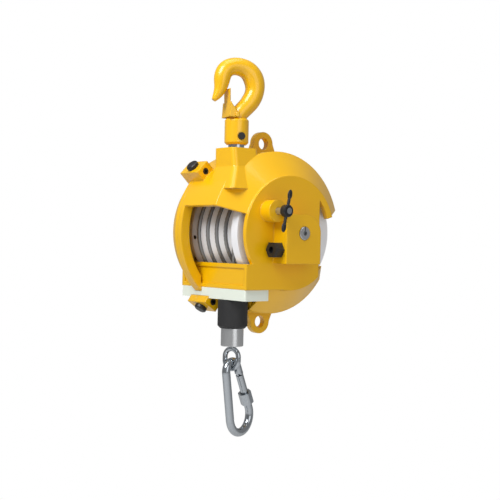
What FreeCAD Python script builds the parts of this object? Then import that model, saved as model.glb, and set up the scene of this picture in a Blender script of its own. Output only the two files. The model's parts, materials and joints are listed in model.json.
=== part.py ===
import FreeCAD, Part
import math
import os
from FreeCAD import Vector

# Spring balancer for hand tools, in millimetres. The origin is the saddle of the top hook,
# +Z is up, and the load line (hook, rope and carabiner) is the Z axis. The drum turns on an
# axis parallel to Y, and -Y is the front, where the worm gearbox and the drum lock are.

# Drum axis, seen from the load line
drum_x = 50.0
drum_z = -186.0

# Stations along the drum axis
gearbox_face_y = -70.0
front_y = -46.0
shoulder_y = -20.0
ring_y = 42.0
joint_y = 49.0
back_y = 95.0

# Castings
wall = 5.0
shell_r = 98.0
lower_shell_y = -8.0
plate_r = 68.0
rear_flat_r = 64.0
window_top_angle = 18.0
window_low_angle = -35.0
plate_t = 6.0
plate_right = 44.0
casting_round = 2.0

# Rope, drum and grooves
rope_d = 4.8
rope_clearance = 0.3
groove_pitch = 12.5
groove_taper = 4.0
groove_count = 5
load_groove_y = 0.0
flange_r = 70.0
flange_front_y = -32.0
flange_t = 12.0
drum_rear_y = 60.0
drum_wall = 4.0
hub_r = 17.0
hub_length = 14.0
lock_hole_count = 12
lock_hole_r = 5.0

# Arbor, bushes and worm gear
arbor_r = 9.0
arbor_nose_r = 7.7
bush_wall = 3.0
running_gap = 0.05
side_gap = 0.5
worm_drop = 20.0
worm_root_r = 4.4
worm_tip_r = 6.2
worm_length = 26.0
worm_shaft_r = 4.0
wheel_teeth = 24
wheel_tip_r = 15.0
wheel_root_r = 12.6
wheel_width = 9.0
worm_y = -57.0
key_width = 4.0
hex_flats = 17.0
hex_length = 12.0
worm_seal_gap = 2.0

# Gearbox on the front plate
gearbox_left = -27.0
gearbox_right = 25.0
gearbox_top = 22.0
gearbox_bottom = -36.0
gearbox_corner_r = 22.0

# Drum lock
lock_x = -35.0
lock_z = 25.0
lock_boss_r = 13.0
lock_boss_y = -63.0
lock_pin_r = 4.0
lock_stroke = 6.0
lock_hub_r = 7.2
lock_hub_front_y = -82.0
lock_hub_t = 7.0
lock_bar_y = -78.5
lock_bar_r = 1.8
lock_tip_y = -34.0
lock_circle_r = 43.0
lock_bar_half = 25.0
lock_bar_tilt = 12.0
lock_paddle_length = 12.0
lock_paddle_width = 6.5

# Spring case and mainspring
case_r = 62.0
case_y = 62.0
case_depth = 25.0
case_wall = 3.0
spring_strip = 1.4
spring_pitch = 4.6
spring_turns = 8
spring_width = 18.0

# Rope guide box and guide block
box_low = -67.0
box_high = -37.0
box_left = -66.0
box_right = -33.0
box_back_y = 84.0
box_wall = 4.0
panel_depth = 1.5
panel_border = 5.0
block_t = 13.0
block_front_y = -44.0
block_right = -30.5
guide_hole_r = 4.5

# Suspension boss, swivel and hook
boss_top = 99.0
boss_foot = 50.0
boss_depth = 36.0
boss_half = 19.0
boss_foot_left = 33.0
boss_foot_right = 24.0
boss_foot_front = 36.0
boss_back = 19.0
boss_round = 6.0
stem_r = 9.5
stem_bore_gap = 0.3
socket_r = 14.3
socket_top = -51.2
socket_low = -82.5
socket_round = 2.5
socket_pin_r = 3.0
socket_pin_head_r = 4.3
hook_turn = -14.0
hook_bowl_r = 12.5
hook_bar_r = 10.4
hook_neck_r = 9.0

# Load end
buffer_r = 17.9
buffer_length = 34.0
buffer_bore_gap = 0.3
sleeve_r = 13.5
sleeve_length = 21.5
eye_rod_r = 3.4
eye_half = 12.4
eye_drop = 27.0
eye_turn = -73.0
swivel_head_r = 9.0
swivel_head_t = 4.0
carabiner_r = 5.0
carabiner_top_r = 11.5
carabiner_low_r = 20.0
carabiner_span = 58.5
carabiner_swing = 18.0
hang_gap = 0.3
gate_r = 4.6
nut_r = 8.0
nut_length = 15.0

# Lifting eyes, lugs, screws and bumpers
lifting_eye_y = 11.0
lifting_eye_t = 8.0
lifting_eye_r = 14.5
lifting_eye_hole_r = 7.2
lifting_eye_height = 11.0
lug_angles = (136.0, 45.0, -45.0, -125.0)
lug_reach = 13.0
lug_width = 20.0
lug_front_y = 27.0
lug_back_y = 63.0
screw_r = 3.0
screw_head_r = 5.0
screw_head_t = 5.0
bumper_r = 7.5
bumper_t = 5.0
bumper_stem_r = 3.0

X = Vector(1, 0, 0)
Y = Vector(0, 1, 0)
Z = Vector(0, 0, 1)
drum_place = Vector(drum_x, 0, drum_z)


def cylinder(radius, start, direction, length):
    return Part.makeCylinder(radius, length, start, direction)


def along_y(radius, y0, y1, x=0.0, z=0.0):
    return cylinder(radius, Vector(x, y0, z), Y, y1 - y0)


def along_z(radius, z0, z1, x=0.0, y=0.0):
    return cylinder(radius, Vector(x, y, z0), Z, z1 - z0)


def block(x0, x1, y0, y1, z0, z1):
    return Part.makeBox(x1 - x0, y1 - y0, z1 - z0, Vector(x0, y0, z0))


def revolve_y(points):
    """Turns a closed outline of (radius, y) points about the Y axis."""
    outline = [Vector(r, y, 0) for r, y in points]
    face = Part.Face(Part.makePolygon(outline + outline[:1]))
    return face.revolve(Vector(0, 0, 0), Y, 360)


def revolve_z(points, x=0.0, y=0.0):
    """Turns a closed outline of (radius, z) points about a vertical axis."""
    outline = [Vector(r, 0, z) for r, z in points]
    face = Part.Face(Part.makePolygon(outline + outline[:1]))
    turned = face.revolve(Vector(0, 0, 0), Z, 360)
    turned.translate(Vector(x, y, 0))
    return turned


def prism_z(points, z0, z1):
    outline = [Vector(x, y, z0) for x, y in points]
    face = Part.Face(Part.makePolygon(outline + outline[:1]))
    return face.extrude(Vector(0, 0, z1 - z0))


def prism_y(points, y0, y1):
    outline = [Vector(x, y0, z) for x, z in points]
    face = Part.Face(Part.makePolygon(outline + outline[:1]))
    return face.extrude(Vector(0, y1 - y0, 0))


def sector_y(angle0, angle1, radius, y0, y1):
    """A pie slice about the drum axis, from angle0 to angle1 in degrees above +X."""
    slice_y = Part.makeCylinder(radius, y1 - y0, Vector(0, 0, 0), Z, angle1 - angle0)
    slice_y.rotate(Vector(0, 0, 0), Z, angle0)
    slice_y.rotate(Vector(0, 0, 0), X, 90)
    slice_y.translate(Vector(0, y1, 0))
    return slice_y


def polar(radius, angle):
    return radius * math.cos(math.radians(angle)), radius * math.sin(math.radians(angle))


def fuse(first, *others):
    solids = [solid for other in others for solid in other.Solids]
    return first.fuse(solids).removeSplitter()


def keep_solids(shape):
    return Part.Compound(shape.Solids)


def groove_radius(index):
    """Radius of the rope's centre line in groove 0, at the load line, and the ones behind it."""
    return drum_x + groove_taper * index


def groove_y(index):
    return load_groove_y + groove_pitch * index


def drum_surface(y):
    """Outer radius of the cone's lands at station y: the rope lies half sunk."""
    return drum_x + groove_taper * (y - load_groove_y) / groove_pitch


def housing_wall(points, angle0, angle1):
    """A revolved casting wall, kept between two angles above +X."""
    return revolve_y(points).common(sector_y(angle0, angle1, 200.0, -100.0, 150.0))


def make_main_frame():
    plate_end = front_y + plate_t
    plate = along_y(plate_r, front_y, plate_end)
    plate = plate.cut(block(plate_right, 100, -100, 100, -100, 100))
    foot = block(box_left, 0, front_y, plate_end, box_low, box_high)
    upper = housing_wall([
        (plate_r - 8, front_y), (plate_r, front_y), (plate_r, front_y + 3), (shell_r, shoulder_y),
        (shell_r, joint_y), (shell_r - wall, joint_y), (shell_r - wall, shoulder_y + 2),
        (plate_r - 2, plate_end + 1), (plate_r - 8, plate_end + 1)],
        window_top_angle, 180 - window_top_angle)
    end_angle = -math.degrees(math.acos(block_right / shell_r))
    lower = housing_wall([
        (shell_r - wall, lower_shell_y), (shell_r, lower_shell_y), (shell_r, joint_y),
        (shell_r - wall, joint_y)], end_angle, window_low_angle)
    ring = revolve_y([
        (shell_r - 12, ring_y), (shell_r, ring_y), (shell_r, joint_y), (shell_r - 12, joint_y)])
    left_wall = block(box_left, box_left + box_wall, front_y, joint_y, box_low, box_high)
    floor = block(box_left, box_right, front_y, joint_y, box_low, box_low + box_wall)
    side = block(block_right, block_right + wall, lower_shell_y, joint_y, -shell_r + 5, box_low + 2)
    side = side.common(along_y(shell_r, -60, 60))
    gearbox = block(gearbox_left, gearbox_right, gearbox_face_y + 4, front_y + 1,
                    gearbox_bottom, gearbox_top)
    gearbox = round_gearbox(gearbox)
    lock_boss = along_y(lock_boss_r, lock_boss_y, front_y + 1, lock_x, lock_z)
    bearing = along_y(arbor_r + 8, front_y, plate_end + 5)
    frame = fuse(plate, foot, upper, lower, ring, left_wall, floor, side, gearbox, lock_boss,
                 bearing, make_lugs(lug_front_y, joint_y), make_lifting_eyes(), make_boss())
    # Room for the guide block, the drum, the worm gear, the lock and the rope
    frame = frame.cut(guide_pocket())
    return frame


def round_gearbox(box):
    corner = block(gearbox_right - gearbox_corner_r, gearbox_right + 1, gearbox_face_y - 1,
                   front_y + 2, gearbox_top - gearbox_corner_r, gearbox_top + 1)
    quarter = along_y(gearbox_corner_r, gearbox_face_y - 2, front_y + 3,
                      gearbox_right - gearbox_corner_r, gearbox_top - gearbox_corner_r)
    return box.cut(corner.cut(quarter))


def make_lugs(y0, y1):
    lugs = []
    for angle in lug_angles:
        lug = block(shell_r - 4, shell_r + lug_reach, y0, y1, -lug_width / 2, lug_width / 2)
        lug.rotate(Vector(0, 0, 0), Y, -angle)
        lugs.append(lug)
    return Part.Compound(lugs)


def make_cavity():
    """The space inside the shroud, which the bosses and lugs outside must stay clear of."""
    plate_end = front_y + plate_t
    return revolve_y([
        (0, plate_end), (plate_r - 8, plate_end), (plate_r - 2, plate_end + 1),
        (shell_r - wall, shoulder_y + 2), (shell_r - wall, ring_y), (shell_r - 12, ring_y),
        (shell_r - 12, joint_y), (0, joint_y)])


def rounded_outline(x0, x1, y0, y1, radius, z):
    """A closed outline with four rounded corners, flat at height z."""
    corners = [(x1, y0, -90), (x1, y1, 0), (x0, y1, 90), (x0, y0, 180)]
    edges = []
    ends = []
    for x, y, start in corners:
        cx = x - radius if x == x1 else x + radius
        cy = y - radius if y == y1 else y + radius
        arc = Part.Arc(Part.Circle(Vector(cx, cy, z), Z, radius), math.radians(start),
                       math.radians(start + 90))
        edges.append(arc.toShape())
        ends.append((arc.StartPoint, arc.EndPoint))
    wire = []
    for i in range(4):
        wire.append(edges[i])
        wire.append(Part.makeLine(ends[i][1], ends[(i + 1) % 4][0]))
    return Part.Wire(wire)


def make_boss():
    """The hook boss: a rounded block that flares into the shroud. Its bore is on the load line."""
    top = rounded_outline(-drum_x - boss_half, -drum_x + boss_half, -boss_half, boss_back,
                          boss_round, boss_top)
    mid = rounded_outline(-drum_x - boss_half, -drum_x + boss_half, -boss_half - 4, boss_back,
                          boss_round, boss_top - 22)
    foot = rounded_outline(-drum_x - boss_foot_left, -drum_x + boss_foot_right, -boss_foot_front,
                           boss_back, boss_round, boss_foot)
    upper = Part.makeLoft([mid, top], True, True)
    lower = Part.makeLoft([foot, mid], True, True)
    outside = fuse(upper, lower).cut(make_cavity())
    seat = along_z(16, boss_top - boss_depth, boss_top - 10, -drum_x, 0)
    return fuse(outside, seat)


def make_lifting_eyes():
    """Two flat eyes, above and below the drum axis, for a safety chain."""
    eyes = []
    for side in (1, -1):
        centre = side * (shell_r + lifting_eye_height)
        y0 = lifting_eye_y
        y1 = lifting_eye_y + lifting_eye_t
        eye = along_y(lifting_eye_r, y0, y1, 0, centre)
        web = prism_y([(-lifting_eye_r, centre), (lifting_eye_r, centre),
                       (lifting_eye_r + 8, side * (shell_r - 8)),
                       (-lifting_eye_r - 8, side * (shell_r - 8))], y0, y1)
        eye = eye.fuse(web).cut(along_y(lifting_eye_hole_r, y0 - 1, y1 + 1, 0, centre))
        eyes.append(eye.cut(make_cavity()))
    return Part.Compound(eyes)


def guide_pocket():
    """Room for the guide block under the rope box."""
    return block(box_left - 0.3, block_right, front_y - 1, 100, box_low - block_t, box_low)


def finish_main_frame(frame):
    """Cuts the gearbox, the bearings, the lock bore and the rope's way out of the casting."""
    inside = 3.0
    cavity = block(gearbox_left + inside, gearbox_right - inside, gearbox_face_y + 3,
                   front_y - inside, gearbox_bottom + inside, gearbox_top - inside)
    corner = gearbox_corner_r - inside
    outer = block(gearbox_right - gearbox_corner_r, gearbox_right, gearbox_face_y, front_y,
                  gearbox_top - gearbox_corner_r, gearbox_top)
    quarter = along_y(corner, gearbox_face_y - 1, front_y + 1,
                      gearbox_right - gearbox_corner_r, gearbox_top - gearbox_corner_r)
    cavity = cavity.cut(outer.cut(quarter))
    pads = []
    for x0, x1 in ((gearbox_left + 1, gearbox_left + 8), (gearbox_right - 8, gearbox_right - 1)):
        pads.append(block(x0, x1, worm_y - 9, front_y - 1, -worm_drop - 9, -worm_drop + 9))
    frame = fuse(frame.cut(cavity), *pads)
    frame = frame.cut(along_y(arbor_r + bush_wall, front_y - 10, 0))
    frame = frame.cut(cylinder(worm_shaft_r + 2, Vector(gearbox_left - 1, worm_y, -worm_drop),
                               X, gearbox_right - gearbox_left - 1))
    frame = frame.cut(along_y(lock_pin_r + running_gap, lock_boss_y - 1, 0, lock_x, lock_z))
    frame = frame.cut(block(-drum_x - 9, -drum_x + 9, -12, ring_y + 4, box_low - 1,
                            box_low + box_wall + 1))
    frame = frame.cut(block(box_left - 1, box_left + panel_depth, front_y + panel_border, joint_y,
                            box_low + panel_border, box_high - panel_border))
    frame = frame.cut(along_z(stem_r + stem_bore_gap, 0, boss_top + 5, -drum_x, 0))
    frame = cut_screw_holes(frame)
    return frame.cut(Part.Compound(guide_screws()))


def make_rear_cover():
    outer = [(0, back_y), (rear_flat_r, back_y), (84, 80), (90, 66), (shell_r, joint_y + 6),
             (shell_r, joint_y)]
    inner = [(shell_r - wall, joint_y), (shell_r - wall, joint_y + 4), (85.5, 64), (79.5, 77.5),
             (62, back_y - wall), (0, back_y - wall)]
    dish = revolve_y(outer + inner)
    space = revolve_y([(0, joint_y)] + inner[:-1] + [(0, back_y - wall)])
    envelope = revolve_y(outer + [(0, joint_y)])
    box = block(box_left, box_right, joint_y, box_back_y, box_low, box_high)
    hollow = block(box_left + box_wall, box_right + 1, joint_y - 1, box_back_y - box_wall,
                   box_low + box_wall, box_high + 1)
    box = box.cut(hollow).cut(along_y(shell_r - 29, joint_y - 1, box_back_y + 1))
    side = block(block_right, block_right + wall, joint_y, back_y - 8, -shell_r, box_low + 2)
    side = side.common(envelope).cut(along_y(shell_r - 29, joint_y - 1, back_y))
    lugs = make_lugs(joint_y, lug_back_y).cut(space)
    boss = along_y(arbor_r + 7, back_y - wall - 6, back_y - 1)
    cover = fuse(dish, box, side, lugs, boss)
    cover = cover.cut(hollow.cut(along_y(shell_r - 29, joint_y - 2, box_back_y + 2)))
    cover = cover.cut(guide_pocket().cut(block(-200, 200, box_back_y + 0.3, 200, -200, 0)))
    cover = cover.cut(along_y(arbor_r + bush_wall, 0, back_y - wall))
    cover = cover.cut(block(box_left - 1, box_left + panel_depth, joint_y,
                            box_back_y - panel_border, box_low + panel_border,
                            box_high - panel_border))
    return cut_screw_holes(cover).cut(Part.Compound(guide_screws()))


def lug_screws(grow=0.0):
    """The axial screws that hold the rear cover: a socket head in front, the thread behind."""
    screws = []
    for angle in lug_angles:
        x, z = polar(shell_r + 5.5, angle)
        head = along_y(screw_head_r - 1 + grow, lug_front_y - grow, lug_front_y + screw_head_t, x, z)
        shank = along_y(screw_r - 0.5 + grow, lug_front_y + 1, lug_back_y - 3, x, z)
        socket = along_y(2.0, lug_front_y - 1, lug_front_y + 2.5, x, z)
        screw = fuse(head, shank)
        screws.append(screw if grow else screw.cut(socket))
    return screws


def cut_screw_holes(casting):
    studs = [bumper_stem(angle) for angle in lug_angles]
    return casting.cut(Part.Compound(lug_screws() + studs)).cut(Part.Compound([
        along_y(2.0, lug_front_y - 1, lug_front_y + 3, *polar(shell_r + 5.5, angle))
        for angle in lug_angles]))


def bumper_stem(angle):
    x, z = polar(shell_r + lug_reach - 2.5, angle)
    out = Vector(*[polar(1, angle)[0], 0, polar(1, angle)[1]])
    return cylinder(bumper_stem_r, Vector(x, joint_y - 4, z), out, 2.5)


def make_bumpers():
    """Black buttons on the outer ends of the lugs."""
    bumpers = []
    for angle in lug_angles:
        x, z = polar(shell_r + lug_reach, angle)
        out = Vector(*[polar(1, angle)[0], 0, polar(1, angle)[1]])
        head = cylinder(bumper_r, Vector(x, joint_y - 4, z), out, bumper_t)
        head = head.makeChamfer(1.2, [e for e in head.Edges if e.Length > bumper_r and
                                      e.CenterOfMass.distanceToPoint(Vector(x, joint_y - 4, z)) > 3
                                      and len(e.Vertexes) == 1])
        bumpers.append(fuse(head, bumper_stem(angle)))
    return Part.Compound(bumpers)


def guide_screws():
    screws = []
    for x in (box_left + 8, block_right - 9):
        for y in (block_front_y + 10, box_back_y - 12):
            head = along_z(4.5, box_low - block_t + 1, box_low - block_t + 6, x, y)
            shank = along_z(2.5, box_low - block_t + 5, box_low + 3, x, y)
            screws.append(fuse(head, shank))
    return screws


def make_guide_block():
    guide = block(box_left, block_right, block_front_y, box_back_y, box_low - block_t, box_low)
    upright = [e for e in guide.Edges if abs(e.tangentAt(e.FirstParameter).z) > 0.9]
    guide = guide.makeFillet(2.0, upright)
    guide = guide.cut(along_z(guide_hole_r, -200, 0, -drum_x, 0))
    funnel = Part.makeCone(guide_hole_r, 12, 7.6, Vector(-drum_x, 0, box_low - 7.5), Z)
    guide = guide.cut(funnel)
    guide = guide.cut(Part.Compound(guide_screws()))
    wells = [along_z(4.5, -200, box_low - block_t + 2, x, y)
             for x in (box_left + 8, block_right - 9)
             for y in (block_front_y + 10, box_back_y - 12)]
    return guide.cut(Part.Compound(wells))


def make_gear_cover():
    plate = block(gearbox_left, gearbox_right, gearbox_face_y, gearbox_face_y + 4,
                  gearbox_bottom, gearbox_top)
    return round_gearbox(plate).cut(along_y(arbor_nose_r + 0.4, gearbox_face_y - 1,
                                            gearbox_face_y + 5))


def make_arbor():
    """The fixed axle. The worm wheel turns it to set the spring, and the drum runs on it."""
    end = back_y - wall - 0.5
    arbor = revolve_y([(0, gearbox_face_y - 1), (arbor_nose_r - 0.6, gearbox_face_y - 1),
                       (arbor_nose_r, gearbox_face_y - 0.4), (arbor_nose_r, worm_y - 5),
                       (arbor_r, worm_y - 5), (arbor_r, end), (0, end)])
    slit = block(-0.6, 0.6, gearbox_face_y - 2, gearbox_face_y + 3, 0, arbor_nose_r + 1)
    hexagon = [Vector(3.0 * math.cos(math.radians(60 * i)), gearbox_face_y - 2,
                      3.0 * math.sin(math.radians(60 * i))) for i in range(6)]
    socket = Part.Face(Part.makePolygon(hexagon + hexagon[:1])).extrude(Vector(0, 8, 0))
    return arbor.cut(slit).cut(socket).cut(make_key())


def make_key():
    return block(-key_width / 2, key_width / 2, worm_y - wheel_width / 2,
                 worm_y + wheel_width / 2, arbor_r - 2, arbor_r + 1.6)


def make_worm_wheel():
    outline = []
    for i in range(wheel_teeth):
        centre = -90 + 360.0 / wheel_teeth * i
        for offset, radius in ((-5.2, wheel_root_r), (-1.9, wheel_tip_r), (1.9, wheel_tip_r),
                               (5.2, wheel_root_r)):
            outline.append(polar(radius, centre + offset))
    wheel = prism_y(outline, worm_y - wheel_width / 2, worm_y + wheel_width / 2)
    return wheel.cut(along_y(arbor_r, worm_y - 20, worm_y + 20)).cut(make_key())


def make_worm_shaft():
    """A one-start worm, built from flat facets, with its shaft and its hexagon head outside."""
    pitch = 2 * math.pi * (wheel_tip_r + wheel_root_r + 1.2) / 2 / wheel_teeth
    steps = 16
    turns = int(worm_length / pitch) + 3
    half = worm_length / 2
    start = -pitch * (0.49 + turns // 2)
    profile = ((0.0, worm_root_r), (0.48, worm_root_r), (0.66, worm_tip_r), (0.82, worm_tip_r))
    rows = []
    for j in range(steps + 1):
        angle = 2 * math.pi * j / steps
        row = []
        for k in range(4 * turns):
            part, radius = profile[k % 4]
            x = start + pitch * (k // 4 + part + j / steps)
            if x <= -half or x >= half:
                x = math.copysign(half, x)
                radius = worm_root_r
            row.append(Vector(x, radius * math.cos(angle), radius * math.sin(angle)))
        rows.append(row)
    faces = []
    for j in range(steps):
        for k in range(4 * turns - 1):
            a, b, c, d = rows[j][k], rows[j + 1][k], rows[j + 1][k + 1], rows[j][k + 1]
            for triangle in ((a, b, c), (a, c, d)):
                if triangle_area(triangle) > 1e-6:
                    faces.append(Part.Face(Part.makePolygon(list(triangle) + [triangle[0]])))
    for x in (-half, half):
        rim = [Vector(x, worm_root_r * math.cos(2 * math.pi * j / steps),
                      worm_root_r * math.sin(2 * math.pi * j / steps)) for j in range(steps)]
        faces.append(Part.Face(Part.makePolygon(rim + rim[:1])))
    worm = Part.Solid(Part.makeShell(faces))
    if worm.Volume < 0:
        worm.reverse()
    head_x = gearbox_left - 0.5
    left = cylinder(worm_shaft_r, Vector(head_x - 2, 0, 0), X, -half - head_x + 2)
    right = cylinder(worm_shaft_r, Vector(half, 0, 0), X, gearbox_right - 4 - half)
    corner = hex_flats / 2 / math.cos(math.radians(30))
    hexagon = [Vector(head_x - hex_length, corner * math.cos(math.radians(60 * i)),
                      corner * math.sin(math.radians(60 * i))) for i in range(6)]
    head = Part.Face(Part.makePolygon(hexagon + hexagon[:1])).extrude(Vector(hex_length, 0, 0))
    barrel = Part.makeSphere(12.0, Vector(head_x - hex_length / 2, 0, 0))
    head = head.common(barrel)
    head = head.cut(cylinder(4.0, Vector(head_x - hex_length - 1, 0, 0), X, 5))
    shaft = worm.fuse([left, right, head])
    shaft.translate(Vector(0, worm_y, -worm_drop))
    return shaft


def triangle_area(points):
    a, b, c = points
    return (b - a).cross(c - a).Length / 2


def make_worm_bushes():
    bushes = []
    for x0, x1 in ((gearbox_left, gearbox_left + 8), (gearbox_right - 8, gearbox_right - 3.2)):
        start = Vector(x0, worm_y, -worm_drop)
        bush = cylinder(worm_shaft_r + 2, start, X, x1 - x0)
        bushes.append(bush.cut(cylinder(worm_shaft_r + running_gap, start - X, X, x1 - x0 + 2)))
    return Part.Compound(bushes)


def tube_y(inner, outer, y0, y1):
    return along_y(outer, y0, y1).cut(along_y(inner, y0 - 1, y1 + 1))


def make_arbor_bushes():
    front = tube_y(arbor_r + running_gap, arbor_r + bush_wall, front_y - 3, front_y + plate_t + 5)
    rear = tube_y(arbor_r + running_gap, arbor_r + bush_wall, back_y - wall - 6, back_y - wall)
    return Part.Compound([front, rear])


def make_drum():
    """The cone-shaped drum: rope grooves outside, and a front flange with the lock's holes."""
    rear = drum_rear_y
    low = groove_y(0) - 8
    outline = [(15, flange_front_y), (flange_r, flange_front_y),
               (flange_r, flange_front_y + flange_t), (drum_surface(low), flange_front_y + flange_t),
               (drum_surface(low), low)]
    sunk = rope_d / 2 + rope_clearance
    flat = sunk * math.tan(math.radians(22.5))
    for i in range(groove_count):
        y = groove_y(i)
        r = groove_radius(i)
        outline += [(drum_surface(y - sunk), y - sunk), (r - flat, y - sunk), (r - sunk, y - flat),
                    (r - sunk, y + flat), (r - flat, y + sunk), (drum_surface(y + sunk), y + sunk)]
    skin = drum_wall + 3.7
    outline += [(drum_surface(rear), rear), (drum_surface(rear), rear + 1),
                (drum_surface(rear) - skin, rear + 1),
                (drum_surface(flange_front_y + flange_t) - skin + 2, flange_front_y + flange_t),
                (hub_r + 4, flange_front_y + flange_t), (hub_r + 4, flange_front_y + hub_length + 4),
                (15, flange_front_y + hub_length + 4)]
    drum = revolve_y(outline)
    holes = []
    for i in range(lock_hole_count):
        angle = math.degrees(math.atan2(lock_z, lock_x)) + 360.0 / lock_hole_count * i
        x, z = polar(lock_circle_r, angle)
        holes.append(along_y(lock_hole_r, flange_front_y - 1, flange_front_y + flange_t + 1, x, z))
    return drum.cut(Part.Compound(holes)).cut(Part.Compound(case_screws() + [make_rope_anchor()]))


def case_screws():
    screws = []
    for i in range(6):
        x, z = polar(65.4, 30 + 60 * i)
        head = along_y(2.7, case_y + 2, case_y + 4.5, x, z)
        shank = along_y(1.5, case_y - 4.5, case_y + 2.5, x, z)
        screws.append(fuse(head, shank))
    return screws


def make_rope_anchor():
    """The screw that pins the rope's inner end near the drum's large end."""
    angle = 186.0
    y = drum_rear_y - 3.5
    x, z = polar(drum_surface(y) - 4.5, angle)
    out = Vector(polar(1, angle)[0], 0, polar(1, angle)[1])
    return cylinder(2.4, Vector(x, y, z), out, 5.0)


def make_spring_case():
    """The cup behind the drum that holds the mainspring. It carries the rear bush."""
    rim = case_r - case_wall
    base = case_y + 2
    case = revolve_y([(15, case_y - 12), (21, case_y - 12), (21, case_y - 1), (68.5, case_y - 1),
                      (68.5, base), (case_r, base), (case_r, case_y + case_depth - 3),
                      (rim, case_y + case_depth - 3), (rim, base), (15, base)])
    return case.cut(Part.Compound(case_screws()))


def make_spring_lid():
    y0 = case_y + case_depth - 3
    return tube_y(24, case_r, y0, y0 + 2)


def make_drum_bushes():
    inner = arbor_r + running_gap
    front = tube_y(inner, 15, flange_front_y - 2.5, flange_front_y + hub_length + 4)
    rear = tube_y(inner, 15, case_y - 12, case_y + 2)
    return Part.Compound([front, rear])


def make_spring_hub():
    return tube_y(arbor_r, arbor_r + 9, case_y + 2.5, case_y + case_depth - 4)


def make_mainspring():
    """A flat spiral of half circles, struck from two centres a half pitch apart."""
    half_pitch = spring_pitch / 2
    y0 = case_y + 3
    first = arbor_r + 9 + 0.3 + spring_strip / 2
    walls = []
    for side in (-spring_strip / 2, spring_strip / 2):
        wall_edges = []
        for k in range(2 * spring_turns):
            radius = first + half_pitch * k + side
            centre = 0 if k % 2 == 0 else half_pitch
            start = 0 if k % 2 == 0 else 180
            circle = Part.Circle(Vector(centre, y0, 0), Vector(0, -1, 0), radius)
            points = []
            for degrees in (start, start + 90, start + 180):
                x, z = polar(radius, degrees)
                points.append(Vector(centre + x, y0, z))
            wall_edges.append(Part.Arc(*points).toShape())
        walls.append(wall_edges)
    inner_ends = (walls[0][0].Vertexes[0].Point, walls[1][0].Vertexes[0].Point)
    outer_ends = (walls[0][-1].Vertexes[-1].Point, walls[1][-1].Vertexes[-1].Point)
    edges = walls[0] + [Part.makeLine(outer_ends[0], outer_ends[1])]
    edges += list(reversed(walls[1])) + [Part.makeLine(inner_ends[1], inner_ends[0])]
    band = Part.Face(Part.Wire(Part.__sortEdges__(edges)))
    spring = band.extrude(Vector(0, spring_width - 1, 0))
    reach = outer_ends[1].x
    tab = block(reach - spring_strip, case_r - case_wall - 0.3, y0, y0 + spring_width - 1, 0, 2.5)
    return fuse(spring, tab)


def make_rope_wraps():
    """The wound rope: one ring for each groove, and the last turn as far as it hugs the drum."""
    wraps = []
    for i in range(groove_count):
        sweep = 360.0 if i else 235.0
        start = Vector(-groove_radius(i), groove_y(i), 0)
        disc = Part.Face(Part.Wire([Part.Circle(start, Z, rope_d / 2).toShape()]))
        wraps.append(disc.revolve(Vector(0, groove_y(i), 0), Y, sweep))
    return Part.Compound(wraps)


def make_lock_plunger():
    start = lock_hub_front_y + lock_hub_t - 1.3
    return along_y(lock_pin_r, start, lock_tip_y, lock_x, lock_z)


def make_lock_handle():
    """The T-bar: a round bar with flattened ends, through a round hub."""
    hub = along_y(lock_hub_r, lock_hub_front_y, lock_hub_front_y + lock_hub_t)
    hub = hub.makeChamfer(1.0, [e for e in hub.Edges if len(e.Vertexes) == 1 and
                                e.CenterOfMass.y < lock_hub_front_y + 1])
    hub = hub.cut(along_y(lock_pin_r + running_gap, lock_hub_front_y + lock_hub_t - 1.5, 0))
    bar_parts = [cylinder(lock_bar_r, Vector(0, lock_bar_y, -lock_bar_half + 8), Z,
                          2 * lock_bar_half - 16)]
    for side in (-1, 1):
        centre = side * (lock_bar_half - lock_paddle_length / 2)
        paddle = Part.makeSphere(1.0)
        stretch = FreeCAD.Matrix()
        stretch.scale(lock_paddle_width / 2, 1.5, lock_paddle_length / 2)
        paddle = paddle.transformGeometry(stretch)
        paddle.translate(Vector(0, lock_bar_y, centre))
        bar_parts.append(paddle)
    bar = fuse(bar_parts[0], *bar_parts[1:])
    bar.rotate(Vector(0, 0, 0), Y, lock_bar_tilt)
    handle = fuse(hub, bar)
    handle.translate(Vector(lock_x, 0, lock_z))
    cap = along_y(3.6, lock_hub_front_y - 1.2, lock_hub_front_y + 1, lock_x, lock_z)
    return handle.cut(cap), cap


def make_hook():
    """A forged swivel hook: round sections along a path from the neck to the tip."""
    sections = [
        (0.0, -60.0, 9.0), (0.6, -51.5, 9.4), (4.5, -44.0, 10.2), (12.5, -35.5, 10.7),
        (20.0, -24.5, 11.3), (22.6, -11.5, 11.8), (18.0, 1.5, 12.0), (8.8, 8.6, 11.0),
        (-2.5, 10.4, 10.4), (-13.6, 7.0, 10.3), (-19.6, -2.5, 10.0), (-21.0, -12.0, 8.7),
        (-23.2, -20.0, 6.8), (-26.8, -26.6, 4.8), (-30.2, -31.4, 2.6)]
    rings = []
    for i, (x, z, radius) in enumerate(sections):
        before = sections[max(i - 1, 0)]
        after = sections[min(i + 1, len(sections) - 1)]
        along = Vector(after[0] - before[0], 0, after[1] - before[1])
        if i == 0:
            along = Z
        rings.append(Part.Wire([Part.Circle(Vector(x, 0, z), along, radius).toShape()]))
    return Part.makeLoft(rings, True, False)


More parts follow.
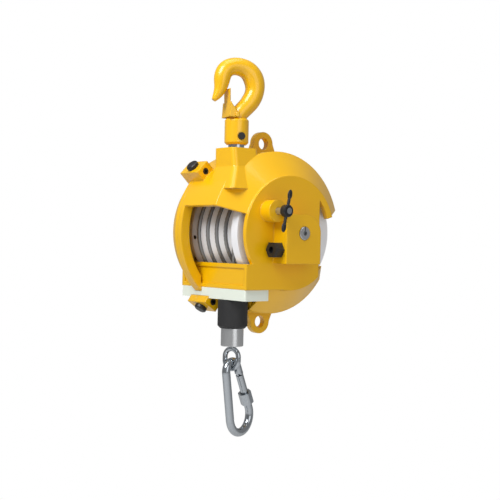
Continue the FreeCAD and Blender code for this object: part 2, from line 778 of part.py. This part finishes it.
def make_hook_parts():
    hook = make_hook()
    pin_z = -73.0
    latch_x = -4.7
    latch_z = -48.0
    sleeve = revolve_z([(0, socket_top), (socket_r - socket_round, socket_top),
                        (socket_r, socket_top - socket_round), (socket_r, socket_low + socket_round),
                        (socket_r - socket_round, socket_low), (0, socket_low)])
    stud_top = -62.0
    stud_foot = drum_z + boss_top - boss_depth - 10.6
    stud = fuse(along_z(stem_r - 1.5, socket_low - 1, stud_top),
                along_z(stem_r, stud_foot, socket_low))
    pin = fuse(cylinder(socket_pin_r, Vector(0, -socket_r - 1, pin_z), Y, 2 * socket_r + 1),
               cylinder(socket_pin_head_r, Vector(0, -socket_r - 2.2, pin_z), Y, 3.2))
    latch_pin = fuse(cylinder(1.8, Vector(latch_x, -13.2, latch_z), Y, 26.4),
                     cylinder(2.8, Vector(latch_x, -14.0, latch_z), Y, 1.4),
                     cylinder(2.8, Vector(latch_x, 12.6, latch_z), Y, 1.4))
    hook = hook.cut(cylinder(1.8, Vector(latch_x, -20, latch_z), Y, 40))
    sleeve = sleeve.cut(hook).cut(stud).cut(pin)
    stud = stud.cut(pin)
    stud = stud.cut(hook)
    nut_top = drum_z + boss_top - boss_depth - hang_gap
    washer = revolve_z([(stem_r + 0.1, nut_top), (15, nut_top), (15, nut_top - 1.5),
                        (stem_r + 0.1, nut_top - 1.5)])
    nut = hexagon_z(11.0, nut_top - 9.5, nut_top - 1.5).cut(along_z(stem_r, -400, 0))
    return hook, sleeve, stud, pin, latch_pin, washer, nut


def hexagon_z(flat_radius, z0, z1):
    corner = flat_radius / math.cos(math.radians(30))
    return prism_z([polar(corner, 60 * i) for i in range(6)], z0, z1)


def make_latch():
    """The folded sheet latch: a tongue behind the tip and two cheeks on the neck."""
    cheeks = []
    outline = [(-14.3, -50.6), (-4.7, -50.8), (-2.4, -46.2), (-6, -41.5), (-13.2, -33)]
    for y0, y1 in ((-12.4, -11.2), (11.2, 12.4)):
        cheeks.append(prism_y(outline, y0, y1))
        cheeks.append(along_y(2.9, y0, y1, -4.7, -48.0))
    tongue = prism_y([(-14.3, -50.6), (-13.2, -33), (-11.9, -33), (-13.0, -50.6)], -12.4, 12.4)
    upper = prism_y([(-13.2, -33), (-13.6, -17.5), (-12.3, -16.8), (-11.9, -33)], -8.5, 8.5)
    latch = fuse(tongue, upper, *cheeks)
    return latch.cut(cylinder(1.85, Vector(-4.7, -30, -48.0), Y, 60))


def make_load_end():
    """Buffer, end sleeve, rope ferrule and the swivelling eye link, down the load line."""
    top = drum_z + box_low - block_t - hang_gap
    low = top - buffer_length
    bore = rope_d / 2 + buffer_bore_gap
    buffer = revolve_z([(bore, top), (buffer_r - 1, top), (buffer_r, top - 1), (buffer_r, low + 3),
                        (buffer_r - 3, low), (bore, low)])
    foot = low - sleeve_length
    cave_top = low - 3
    cave_low = foot + 3.6
    sleeve = revolve_z([(bore, low), (sleeve_r, low), (sleeve_r, foot + 0.8), (sleeve_r - 0.8, foot),
                        (4.05, foot), (4.05, cave_low), (swivel_head_r + 0.6, cave_low),
                        (swivel_head_r + 0.6, cave_top), (bore, cave_top)])
    ferrule = revolve_z([(rope_d / 2, cave_top - 0.1), (6.3, cave_top - 0.1), (6.3, cave_top - 8),
                         (rope_d / 2, cave_top - 8)])
    run = along_z(rope_d / 2, cave_top - 8, drum_z)
    half = eye_half - 2.7
    rod = eye_rod_r - 0.4
    low_centre = foot - eye_drop + half
    top_centre = foot - 0.2 - rod - half
    sides = [along_z(rod, low_centre, top_centre, x, 0) for x in (-half, half)]
    arcs = [bend(Vector(0, 0, low_centre), half, rod, 180, 360),
            bend(Vector(0, 0, top_centre), half, rod, 0, 180)]
    stem = along_z(4.0, foot - 0.2 - rod, cave_low + 2)
    head = along_z(swivel_head_r, cave_low + 0.1, cave_low + 0.1 + swivel_head_t)
    eye = fuse(sides[0], sides[1], arcs[0], arcs[1], stem, head)
    eye.rotate(Vector(0, 0, 0), Z, eye_turn)
    return buffer, sleeve, ferrule, run, eye, foot - eye_drop


def bend(centre, path_r, rod_r, angle0, angle1):
    """A round rod bent along an arc in the XZ plane, between two angles above +X."""
    x, z = polar(path_r, angle0)
    heading = Vector(*polar(1, angle0 + 90), 0)
    circle = Part.Circle(centre + Vector(x, 0, z), Vector(heading.x, 0, heading.y), rod_r)
    disc = Part.Face(Part.Wire([circle.toShape()]))
    return disc.revolve(centre, Vector(0, -1, 0), angle1 - angle0)


def rod_between(a, b, radius):
    return cylinder(radius, a, (b - a).normalize(), (b - a).Length)


def make_carabiner():
    """A pear-shaped carabiner. Its gate hangs from a pin near the top and opens inwards."""
    slope = math.asin((carabiner_low_r - carabiner_top_r) / carabiner_span)
    tilt = math.degrees(slope)
    top = Vector(0, 0, -carabiner_top_r)
    low = Vector(0, 0, -carabiner_top_r - carabiner_span)
    out = Vector(math.cos(slope), 0, math.sin(slope))
    mirror = Vector(-out.x, 0, out.z)
    down = Vector(math.sin(slope), 0, -math.cos(slope))
    r = carabiner_r
    right_top = top + out * carabiner_top_r
    right_low = low + out * carabiner_low_r
    pivot = right_top + down * 7.0
    nose = right_low - down * 5.0
    knuckle = 4.2
    body = fuse(bend(top, carabiner_top_r, r, tilt, 180 - tilt),
                bend(low, carabiner_low_r, r, 180 - tilt, 360 + tilt),
                rod_between(top + mirror * carabiner_top_r, low + mirror * carabiner_low_r, r),
                rod_between(right_top, pivot, r),
                rod_between(right_low, nose, r))
    knob = cylinder(knuckle, pivot - Y * 10, Y, 20)
    knob = knob.common(rod_between(right_top - down * 2, pivot + down * 8, r))
    slot = slab(pivot, out, down, -8, 8, -5.5, 8, 1.7)
    body = fuse(body, knob).cut(slot).cut(cylinder(1.6, pivot - Y * 10, Y, 20))
    gate_low = nose - down * 0.8
    gate = rod_between(pivot + down * 5.0, gate_low, gate_r)
    tongue = slab(pivot, out, down, -3.6, 3.6, 0, 6, 1.5)
    tongue = fuse(tongue, cylinder(3.6, pivot - Y * 1.5, Y, 3.0))
    gate = fuse(gate, tongue).cut(cylinder(1.65, pivot - Y * 10, Y, 20))
    pin = cylinder(1.6, pivot - Y * 4.6, Y, 9.2)
    nut_low = gate_low - down * 0.2
    nut = rod_between(nut_low - down * nut_length, nut_low, nut_r)
    trim = hexagon_along(nut_low - down * nut_length, out, down, nut_r * 0.93, nut_length)
    nut = nut.common(trim).cut(rod_between(nut_low - down * 60, nut_low + down * 5, r + 0.1))
    pieces = [body, gate, pin, nut]
    axes = {"pivot": pivot, "down": down, "out": out}
    return pieces, axes


def slab(origin, across, down, a0, a1, d0, d1, half):
    """A flat plate in the XZ plane, from a0 to a1 across and d0 to d1 down."""
    corners = [origin + across * a + down * d for a, d in ((a0, d0), (a1, d0), (a1, d1), (a0, d1))]
    corners = [c - Y * half for c in corners]
    return Part.Face(Part.makePolygon(corners + corners[:1])).extrude(Y * (2 * half))


def hexagon_along(start, across, down, flat_radius, length):
    corner = flat_radius / math.cos(math.radians(30))
    points = []
    for i in range(6):
        a, b = polar(corner, 60 * i)
        points.append(start + across * a + Y * b)
    return Part.Face(Part.makePolygon(points + points[:1])).extrude(down * length)


def hang(shape, eye_foot):
    """Hangs a carabiner piece on the eye link, leaning and turned as it rests there."""
    shape = shape.copy()
    rod_centre = eye_foot
    rod_top = eye_foot + eye_rod_r - 0.4
    shape.translate(Vector(0, 0, rod_top + hang_gap + carabiner_r))
    shape.rotate(Vector(0, 0, rod_centre), Y, -carabiner_swing)
    shape.rotate(Vector(0, 0, 0), Z, eye_turn + 90)
    return shape


def place(shape):
    """Moves a shape from the drum's axis to its place beside the load line."""
    shape = shape.copy()
    shape.translate(drum_place)
    return shape


def turn_hook(shape):
    shape = shape.copy()
    shape.rotate(Vector(0, 0, 0), Z, hook_turn)
    return shape


def build():
    parts = {}
    parts["main_frame"] = place(finish_main_frame(make_main_frame()))
    parts["rear_cover"] = place(make_rear_cover())
    parts["cover_screws"] = place(Part.Compound(lug_screws()))
    parts["lug_buttons"] = place(make_bumpers())
    parts["gear_cover"] = place(make_gear_cover())
    parts["rope_guide_block"] = place(make_guide_block())
    parts["guide_screws"] = place(Part.Compound(guide_screws()))
    parts["arbor_bushes"] = place(make_arbor_bushes())
    parts["worm_bushes"] = place(make_worm_bushes())
    parts["worm_shaft"] = place(make_worm_shaft())
    parts["arbor"] = place(make_arbor())
    parts["arbor_key"] = place(make_key())
    parts["worm_wheel"] = place(make_worm_wheel())
    parts["spring_hub"] = place(make_spring_hub())
    parts["rope_drum"] = place(make_drum())
    parts["drum_bushes"] = place(make_drum_bushes())
    parts["spring_case"] = place(make_spring_case())
    parts["spring_lid"] = place(make_spring_lid())
    parts["case_screws"] = place(Part.Compound(case_screws()))
    parts["rope_anchor_screw"] = place(make_rope_anchor())
    parts["mainspring"] = place(make_mainspring())
    parts["rope_wraps"] = place(make_rope_wraps())
    parts["lock_plunger"] = place(make_lock_plunger())
    handle, cap = make_lock_handle()
    parts["lock_handle"] = place(handle)
    parts["lock_handle_cap"] = place(cap)
    hook, socket, stud, pin, latch_pin, washer, nut = make_hook_parts()
    parts["suspension_hook"] = turn_hook(hook)
    parts["hook_sleeve"] = turn_hook(socket)
    parts["sleeve_pin"] = turn_hook(pin)
    parts["swivel_stud"] = turn_hook(stud)
    parts["thrust_washer"] = washer
    parts["stud_nut"] = nut
    parts["latch_pin"] = turn_hook(latch_pin)
    parts["safety_latch"] = turn_hook(make_latch())
    buffer, end_sleeve, ferrule, run, eye, eye_foot = make_load_end()
    parts["rubber_buffer"] = buffer
    parts["end_sleeve"] = end_sleeve
    parts["rope_ferrule"] = ferrule
    parts["rope_run"] = run
    parts["eye_link"] = eye
    pieces, axes = make_carabiner()
    names = ("carabiner_body", "carabiner_gate", "gate_pin", "gate_screw_sleeve")
    for name, piece in zip(names, pieces):
        parts[name] = hang(piece, eye_foot)
    return parts, axes


def main():
    os.makedirs("parts", exist_ok=True)
    parts, axes = build()
    for name, shape in parts.items():
        solids = shape.Solids
        whole = solids[0] if len(solids) == 1 else Part.Compound(solids)
        whole.exportStep(os.path.join("parts", name + ".step"))


main()
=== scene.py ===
import json
import math

import bpy
from mathutils import Matrix, Vector

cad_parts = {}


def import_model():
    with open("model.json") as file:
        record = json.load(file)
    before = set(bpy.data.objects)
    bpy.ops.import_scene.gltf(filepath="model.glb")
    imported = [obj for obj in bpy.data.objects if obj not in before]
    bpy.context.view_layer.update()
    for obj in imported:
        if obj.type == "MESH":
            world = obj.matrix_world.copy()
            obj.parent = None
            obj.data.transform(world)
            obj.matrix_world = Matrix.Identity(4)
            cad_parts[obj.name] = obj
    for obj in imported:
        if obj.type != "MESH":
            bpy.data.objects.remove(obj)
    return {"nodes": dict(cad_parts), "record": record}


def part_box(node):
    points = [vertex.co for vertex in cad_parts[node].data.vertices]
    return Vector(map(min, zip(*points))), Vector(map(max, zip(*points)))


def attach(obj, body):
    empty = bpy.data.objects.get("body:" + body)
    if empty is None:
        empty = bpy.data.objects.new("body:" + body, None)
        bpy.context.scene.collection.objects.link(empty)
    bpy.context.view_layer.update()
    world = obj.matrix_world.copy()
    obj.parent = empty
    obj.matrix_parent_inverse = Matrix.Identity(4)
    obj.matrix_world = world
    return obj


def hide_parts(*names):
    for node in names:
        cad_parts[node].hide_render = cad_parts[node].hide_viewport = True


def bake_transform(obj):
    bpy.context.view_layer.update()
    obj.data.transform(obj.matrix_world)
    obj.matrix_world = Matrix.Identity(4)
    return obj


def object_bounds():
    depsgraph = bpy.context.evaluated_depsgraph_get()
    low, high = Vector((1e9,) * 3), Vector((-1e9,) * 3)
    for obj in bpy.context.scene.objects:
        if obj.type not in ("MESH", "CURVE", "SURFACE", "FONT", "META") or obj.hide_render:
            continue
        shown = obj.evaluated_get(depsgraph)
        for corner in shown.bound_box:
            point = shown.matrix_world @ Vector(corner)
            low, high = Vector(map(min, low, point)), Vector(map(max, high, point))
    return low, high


# A spring balancer that hangs from its hook. Metres, in the frame's own axes: the origin is the
# saddle of the hook, +Z is up, and the load line is the Z axis.

VIEW_AZIMUTH = -38.0
VIEW_ELEVATION = 0.6
VIEW_ROLL = -1.25
VIEW_DISTANCE = 1.25
VIEW_WIDTH = 0.595
VIEW_SIDE = 0.019
VIEW_HEIGHT = -0.207
SENSOR = 36.0

# The rope. STRAND_VALLEY is the radius between two strands, as a share of the rope's.
ROPE_R = 0.0024
ROPE_STRANDS = 6
ROPE_LAY = 0.030
ROPE_STEP = 0.0012
ROPE_SIDES = 24
STRAND_VALLEY = 0.80

# The drum's grooves, in step with the solids, and the rope's way over the land between two.
GROOVE_PITCH = 0.0125
GROOVE_TAPER = 0.004
GROOVES = 5
FIRST_GROOVE_R = 0.050
CROSSOVER = math.radians(40.0)
CROSSOVER_START = math.radians(255.0)
CROSSOVER_RISE = 0.0027
MEAN_RADIUS_SHARE = 1.15

# How far below the object the floor lies, and its size.
FLOOR_GAP = 0.25
FLOOR_SIZE = 12.0

# Lamps as (name, azimuth, elevation, distance, size, watts), angles in degrees.
LAMPS = (
    ("key", -78, 42, 1.5, 0.7, 20.0),
    ("fill", -10, 10, 1.8, 1.2, 6.0),
    ("top", -30, 82, 1.5, 1.0, 7.0),
)
WORLD_LIGHT = 0.32
PURE_WHITE = (1, 1, 1, 1)

# Finishes. Colours are linear.
EDGE_SOFTNESS = 0.0018
EDGE_SAMPLES = 8
COAT_ROUGHNESS = 0.08
NOISE_DETAIL = 4.0
YELLOW = (0.82, 0.45, 0.0)
WHITE = (0.80, 0.80, 0.80)

# The conical apron that closes the lower shell in front, as (radius, y) about the drum's axis.
APRON_INNER = (0.068, -0.038)
APRON_OUTER = (0.0975, -0.008)
APRON_T = 0.004
APRON_START = -109.0
APRON_END = -35.0
APRON_STEPS = 48


def material(name, colour, metallic=0.0, roughness=0.4, coat=0.0):
    made = bpy.data.materials.new(name)
    made.use_nodes = True
    shader = made.node_tree.nodes["Principled BSDF"]
    shader.inputs["Base Color"].default_value = (*colour, 1.0)
    shader.inputs["Metallic"].default_value = metallic
    shader.inputs["Roughness"].default_value = roughness
    shader.inputs["Coat Weight"].default_value = coat
    shader.inputs["Coat Roughness"].default_value = COAT_ROUGHNESS
    return made


def noise_bump(made, scale, distance, strength=0.4):
    """A fine cast or ground texture in the surface."""
    tree = made.node_tree
    place = tree.nodes.new("ShaderNodeTexCoord")
    noise = tree.nodes.new("ShaderNodeTexNoise")
    noise.inputs["Scale"].default_value = scale
    noise.inputs["Detail"].default_value = NOISE_DETAIL
    bump = tree.nodes.new("ShaderNodeBump")
    bump.inputs["Strength"].default_value = strength
    bump.inputs["Distance"].default_value = distance
    tree.links.new(place.outputs["Object"], noise.inputs["Vector"])
    tree.links.new(noise.outputs["Fac"], bump.inputs["Height"])
    tree.links.new(bump.outputs["Normal"], tree.nodes["Principled BSDF"].inputs["Normal"])
    return made


def soften_edges(made):
    """Lets a casting's sharp edges catch the light as its painted, rounded ones do."""
    tree = made.node_tree
    rounded = tree.nodes.new("ShaderNodeBevel")
    rounded.samples = EDGE_SAMPLES
    rounded.inputs["Radius"].default_value = EDGE_SOFTNESS
    bump = next(node for node in tree.nodes if node.type == "BUMP")
    tree.links.new(rounded.outputs["Normal"], bump.inputs["Normal"])
    return made


def make_materials():
    return {
        "housing_paint": soften_edges(noise_bump(
            material("housing_paint", YELLOW, 0.0, 0.30, 0.35), 90.0, 0.0004, 0.25)),
        "drum_metal": noise_bump(material("drum_metal", (0.88, 0.89, 0.92), 0.15, 0.45),
                                 400.0, 0.0002),
        "black_steel": material("black_steel", (0.018, 0.018, 0.019), 0.3, 0.38),
        "rope_steel": material("rope_steel", (0.30, 0.305, 0.31), 0.6, 0.42),
        "zinc_steel": material("zinc_steel", (0.42, 0.45, 0.48), 1.0, 0.16),
        "sleeve_metal": material("sleeve_metal", (0.66, 0.67, 0.68), 0.95, 0.26),
        "guide_nylon": material("guide_nylon", (0.74, 0.79, 0.70), 0.0, 0.5),
        "buffer_rubber": material("buffer_rubber", (0.012, 0.012, 0.013), 0.0, 0.6),
        "bearing_bronze": material("bearing_bronze", (0.45, 0.27, 0.10), 0.9, 0.35),
        "spring_steel": material("spring_steel", (0.12, 0.14, 0.17), 0.9, 0.35),
        "axle_steel": material("axle_steel", (0.55, 0.56, 0.57), 0.9, 0.3),
    }


def dress(frame, finishes):
    """Gives every CAD node the finish of its slot in the record."""
    for part in frame["record"]["subparts"]:
        node = frame["nodes"][part["node"]]
        node.data.materials.clear()
        node.data.materials.append(finishes[part["material_slot"]])


def swept_faces(rings, corners):
    """Quads between rings of corners that follow one another, with a cap on each end."""
    faces = []
    for i in range(rings - 1):
        for k in range(corners):
            a = i * corners + k
            b = i * corners + (k + 1) % corners
            faces.append((a, b, b + corners, a + corners))
    faces.append(tuple(reversed(range(corners))))
    last = (rings - 1) * corners
    faces.append(tuple(range(last, last + corners)))
    return faces


def add_mesh(name, verts, faces, finish):
    mesh = bpy.data.meshes.new(name)
    mesh.from_pydata(verts, [], faces)
    mesh.materials.append(finish)
    made = bpy.data.objects.new(name, mesh)
    bpy.context.collection.objects.link(made)
    return made


def view_axis(azimuth, elevation):
    """The direction from the object towards a viewer, from angles in degrees."""
    a = math.radians(azimuth)
    e = math.radians(elevation)
    return Vector((math.sin(a) * math.cos(e), -math.cos(a) * math.cos(e), math.sin(e)))


def drum_centre():
    """The x and z of the drum's axis."""
    low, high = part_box("rope_drum")
    return (low[0] + high[0]) / 2, (low[2] + high[2]) / 2


def rope_section(angle, turn):
    """The rope's radius at an angle round it: six strands that wind along its length."""
    lobe = abs(math.cos((angle - turn) * ROPE_STRANDS / 2))
    return ROPE_R * (STRAND_VALLEY + (1 - STRAND_VALLEY) * lobe)


def rope_mesh(name, points, finish):
    """A stranded rope along a list of points."""
    verts = []
    length = 0.0
    side = None
    for i, point in enumerate(points):
        ahead = points[min(i + 1, len(points) - 1)] - points[max(i - 1, 0)]
        ahead.normalize()
        if side is None:
            side = ahead.orthogonal().normalized()
        side = (side - ahead * side.dot(ahead)).normalized()
        up = ahead.cross(side)
        if i:
            length += (point - points[i - 1]).length
        turn = 2 * math.pi * length / ROPE_LAY
        for k in range(ROPE_SIDES):
            angle = 2 * math.pi * k / ROPE_SIDES
            radius = rope_section(angle, turn)
            verts.append(point + side * (radius * math.cos(angle)) + up * (radius * math.sin(angle)))
    rope = add_mesh(name, verts, swept_faces(len(points), ROPE_SIDES), finish)
    for polygon in rope.data.polygons:
        polygon.use_smooth = True
    return rope


def wound_points(axis_x, axis_z):
    """The rope's way round the drum: along each groove, then over the land to the next."""
    total = 2 * math.pi * GROOVES
    steps = int(total * FIRST_GROOVE_R * MEAN_RADIUS_SHARE / ROPE_STEP)
    points = []
    for i in range(steps + 1):
        angle = total * i / steps
        turn = int(angle / (2 * math.pi))
        within = angle - turn * 2 * math.pi
        share = min(max((within - CROSSOVER_START) / CROSSOVER, 0.0), 1.0)
        level = turn + (1 - math.cos(math.pi * share)) / 2
        if level > GROOVES - 1:
            break
        radius = FIRST_GROOVE_R + GROOVE_TAPER * level
        radius += CROSSOVER_RISE * math.sin(math.pi * share)
        y = GROOVE_PITCH * level
        points.append(Vector((axis_x - radius * math.cos(angle), y,
                              axis_z + radius * math.sin(angle))))
    return points


def make_ropes(finishes, axis_x, axis_z):
    wound = rope_mesh("wound_rope", wound_points(axis_x, axis_z), finishes["rope_steel"])
    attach(wound, "drum_body")
    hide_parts("rope_wraps")
    low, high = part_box("rope_run")
    x = (low[0] + high[0]) / 2
    y = (low[1] + high[1]) / 2
    count = int((high[2] - low[2]) / ROPE_STEP)
    points = [Vector((x, y, high[2] + (low[2] - high[2]) * i / count)) for i in range(count + 1)]
    run = rope_mesh("hanging_rope", points, finishes["rope_steel"])
    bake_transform(run)
    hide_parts("rope_run")


def make_apron(axis_x, axis_z, finish):
    """The cone between the lower shell's rim and the front plate, over the shell's own arc."""
    inner_r, inner_y = APRON_INNER
    outer_r, outer_y = APRON_OUTER
    section = [(inner_r, inner_y), (outer_r, outer_y), (outer_r, outer_y + APRON_T),
               (inner_r, inner_y + APRON_T)]
    verts = []
    for i in range(APRON_STEPS + 1):
        angle = math.radians(APRON_START + (APRON_END - APRON_START) * i / APRON_STEPS)
        for radius, y in section:
            verts.append((axis_x + radius * math.cos(angle), y, axis_z + radius * math.sin(angle)))
    faces = swept_faces(APRON_STEPS + 1, len(section))
    apron = add_mesh("front_apron", verts, faces, finish)
    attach(apron, "housing")


def make_stage(centre, low):
    """A white floor and backdrop that stay clear of the object."""
    backdrop = material("backdrop", WHITE, 0.0, 0.9)
    tree = backdrop.node_tree
    shader = tree.nodes["Principled BSDF"]
    output = tree.nodes["Material Output"]
    glow = tree.nodes.new("ShaderNodeEmission")
    glow.inputs["Strength"].default_value = 1.0
    path = tree.nodes.new("ShaderNodeLightPath")
    mix = tree.nodes.new("ShaderNodeMixShader")
    tree.links.new(path.outputs["Is Camera Ray"], mix.inputs["Fac"])
    tree.links.new(shader.outputs["BSDF"], mix.inputs[1])
    tree.links.new(glow.outputs["Emission"], mix.inputs[2])
    tree.links.new(mix.outputs["Shader"], output.inputs["Surface"])
    bpy.ops.mesh.primitive_plane_add(size=FLOOR_SIZE, location=(centre[0], centre[1], low - FLOOR_GAP))
    floor = bpy.context.object
    floor.name = "floor"
    floor.data.materials.append(backdrop)


def make_world():
    world = bpy.data.worlds.new("studio")
    world.use_nodes = True
    tree = world.node_tree
    background = tree.nodes["Background"]
    path = tree.nodes.new("ShaderNodeLightPath")
    white = tree.nodes.new("ShaderNodeBackground")
    white.inputs["Color"].default_value = PURE_WHITE
    white.inputs["Strength"].default_value = 1.0
    background.inputs["Color"].default_value = PURE_WHITE
    background.inputs["Strength"].default_value = WORLD_LIGHT
    mix = tree.nodes.new("ShaderNodeMixShader")
    tree.links.new(path.outputs["Is Camera Ray"], mix.inputs["Fac"])
    tree.links.new(background.outputs["Background"], mix.inputs[1])
    tree.links.new(white.outputs["Background"], mix.inputs[2])
    tree.links.new(mix.outputs["Shader"], tree.nodes["World Output"].inputs["Surface"])
    bpy.context.scene.world = world


def softbox(name, centre, azimuth, elevation, distance, size, power):
    """A square area lamp that looks at the centre."""
    direction = view_axis(azimuth, elevation)
    data = bpy.data.lights.new(name, "AREA")
    data.energy = power
    data.size = size
    lamp = bpy.data.objects.new(name, data)
    lamp.location = centre + direction * distance
    lamp.rotation_euler = (-direction).to_track_quat("-Z", "Y").to_euler()
    bpy.context.collection.objects.link(lamp)


def make_camera():
    toward = view_axis(VIEW_AZIMUTH, VIEW_ELEVATION)
    a = math.radians(VIEW_AZIMUTH)
    right = Vector((math.cos(a), math.sin(a), 0.0))
    target = right * VIEW_SIDE + Vector((0.0, 0.0, VIEW_HEIGHT))
    data = bpy.data.cameras.new("camera")
    data.sensor_width = SENSOR
    data.lens = SENSOR * VIEW_DISTANCE / VIEW_WIDTH
    camera = bpy.data.objects.new("camera", data)
    turn = (-toward).to_track_quat("-Z", "Y").to_matrix().to_4x4()
    roll = Matrix.Rotation(math.radians(-VIEW_ROLL), 4, "Z")
    camera.matrix_world = Matrix.Translation(target + toward * VIEW_DISTANCE) @ turn @ roll
    bpy.context.collection.objects.link(camera)
    bpy.context.scene.camera = camera


def plain(bounds):
    return [[float(v) for v in corner] for corner in bounds]


def main():
    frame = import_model()
    cad_bounds = plain(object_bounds())
    finishes = make_materials()
    dress(frame, finishes)
    axis_x, axis_z = drum_centre()
    make_ropes(finishes, axis_x, axis_z)
    make_apron(axis_x, axis_z, finishes["housing_paint"])
    centre = (Vector(cad_bounds[0]) + Vector(cad_bounds[1])) / 2
    make_stage(centre, cad_bounds[0][2])
    make_world()
    for name, azimuth, elevation, distance, size, power in LAMPS:
        softbox(name, centre, azimuth, elevation, distance, size, power)
    make_camera()
    bpy.context.scene.view_settings.view_transform = "Standard"


main()
